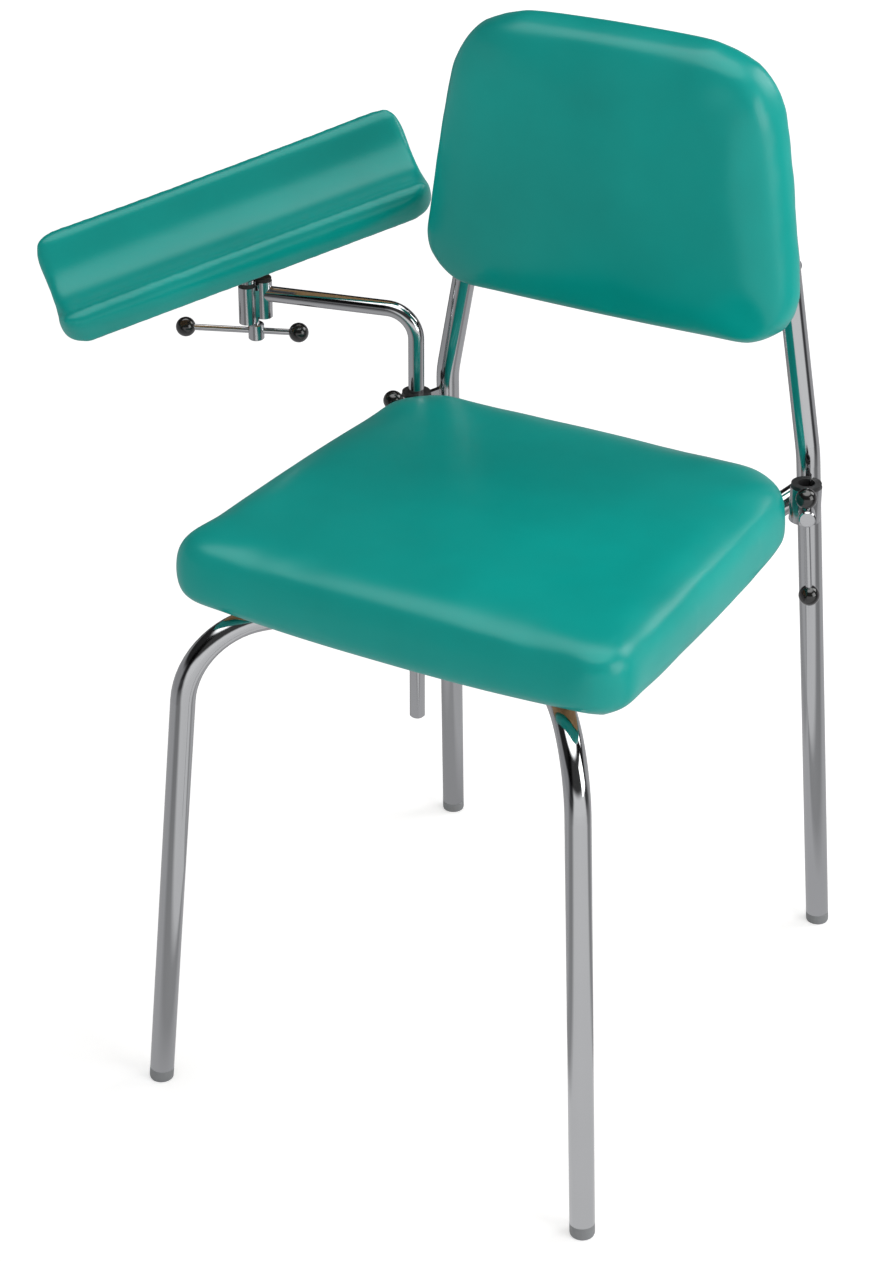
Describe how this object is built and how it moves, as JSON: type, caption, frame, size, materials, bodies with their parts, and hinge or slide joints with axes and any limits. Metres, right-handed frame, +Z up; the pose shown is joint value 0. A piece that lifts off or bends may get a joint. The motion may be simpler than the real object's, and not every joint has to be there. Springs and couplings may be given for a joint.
{
  "type": "phlebotomy chair",
  "caption": "Tube-frame chair with a teal seat and back pad and a padded arm trough that swings, lifts, turns and tilts on a clamped side post.",
  "frame": {"origin": "point of the floor below the middle of the seat, on the plane of symmetry of seat, back and legs", "axes": "+Z up, the chair faces -Y, +X towards the spare post socket"},
  "size_m": [0.696, 0.5033, 0.8317],
  "materials": {
    "chrome_tube": "bright chrome plate",
    "chrome_fitting": "bright chrome plate on turned steel",
    "grey_plastic": "moulded satin",
    "white_nylon": "turned nylon",
    "black_nylon": "turned nylon, carbon black",
    "black_plastic": "gloss moulded",
    "black_fibre": "matte",
    "zinc_steel": "bright zinc plate",
    "brass_pad": "turned",
    "plywood": "sanded birch plywood",
    "teal_vinyl": "smooth semi-gloss coated vinyl"
  },
  "bodies": {
    "frame": {"front_tube_left": "chrome_tube", "front_tube_right": "chrome_tube", "half_rail": "chrome_tube", "rear_tube_left": "chrome_tube", "rear_tube_right": "chrome_tube", "foot_plugs": "grey_plastic", "top_plugs": "grey_plastic", "centre_plate": "chrome_fitting", "seat_lugs": "chrome_fitting", "seat_board": "plywood", "seat_cushion": "teal_vinyl", "seat_screws": "zinc_steel", "back_board": "plywood", "back_cushion": "teal_vinyl", "back_spacers": "grey_plastic", "back_screws": "zinc_steel", "socket_left": "chrome_fitting", "socket_right": "chrome_fitting", "socket_webs": "chrome_fitting", "liner_right": "black_nylon"},
    "post_liner": {"liner_left": "black_nylon"},
    "arm": {"arm_post": "chrome_tube", "clamp_block": "chrome_fitting", "clamp_cap": "black_fibre", "stem_washer": "black_fibre", "lock_pad": "brass_pad"},
    "stem": {"tray_stem": "chrome_fitting", "knuckle_washers": "white_nylon"},
    "trough": {"knuckle_bolt": "zinc_steel", "knuckle_nut": "zinc_steel", "tray_bracket": "zinc_steel", "tray_screws": "zinc_steel", "tray_board": "plywood", "tray_cushion": "teal_vinyl"},
    "clamp_tee": {"clamp_screw": "chrome_fitting"},
    "clamp_handle": {"clamp_bar": "chrome_fitting", "clamp_knobs": "black_plastic"},
    "left_tee": {"leg_screw_left": "chrome_fitting"},
    "left_handle": {"leg_bar_left": "chrome_fitting", "leg_knobs_left": "black_plastic"},
    "right_tee": {"leg_screw_right": "chrome_fitting"},
    "right_handle": {"leg_bar_right": "chrome_fitting", "leg_knobs_right": "black_plastic"}
  },
  "joints": [
    {"name": "post_swivel", "type": "hinge", "parent": "frame", "child": "post_liner", "pos_m": [-0.184, 0.1915, 0.453], "axis": [0, 0, 1], "range_deg": [-25, 80]},
    {"name": "post_height", "type": "slide", "parent": "post_liner", "child": "arm", "axis": [0, 0, 1], "range_m": [-0.04, 0.2]},
    {"name": "trough_turn", "type": "hinge", "parent": "arm", "child": "stem", "pos_m": [-0.3299, 0.14895, 0.545], "axis": [0, 0, 1], "range_deg": [0, 60]},
    {"name": "trough_tilt", "type": "hinge", "parent": "stem", "child": "trough", "pos_m": [-0.3299, 0.14895, 0.573], "axis": [0.9773, 0.2121, 0], "range_deg": [-35, 30]},
    {"name": "clamp_tee_turn", "type": "hinge", "parent": "arm", "child": "clamp_tee", "pos_m": [-0.32546, 0.15536, 0.512], "axis": [0, 0, 1], "continuous": true},
    {"name": "clamp_handle_slide", "type": "slide", "parent": "clamp_tee", "child": "clamp_handle", "axis": [0.927, 0.375, 0], "range_m": [-0.021, 0.047]},
    {"name": "left_tee_turn", "type": "hinge", "parent": "frame", "child": "left_tee", "pos_m": [-0.19498, 0.16904, 0.453], "axis": [-0.4392, -0.8984, 0], "range_deg": [-9, 24]},
    {"name": "left_handle_slide", "type": "slide", "parent": "left_tee", "child": "left_handle", "axis": [0.0705, -0.0345, 0.9969], "range_m": [0, 0.056]},
    {"name": "right_tee_turn", "type": "hinge", "parent": "frame", "child": "right_tee", "pos_m": [0.19498, 0.16904, 0.453], "axis": [0.4392, -0.8984, 0], "range_deg": [-24, 9]},
    {"name": "right_handle_slide", "type": "slide", "parent": "right_tee", "child": "right_handle", "axis": [-0.0705, -0.0345, 0.9969], "range_m": [0, 0.056]}
  ]
}
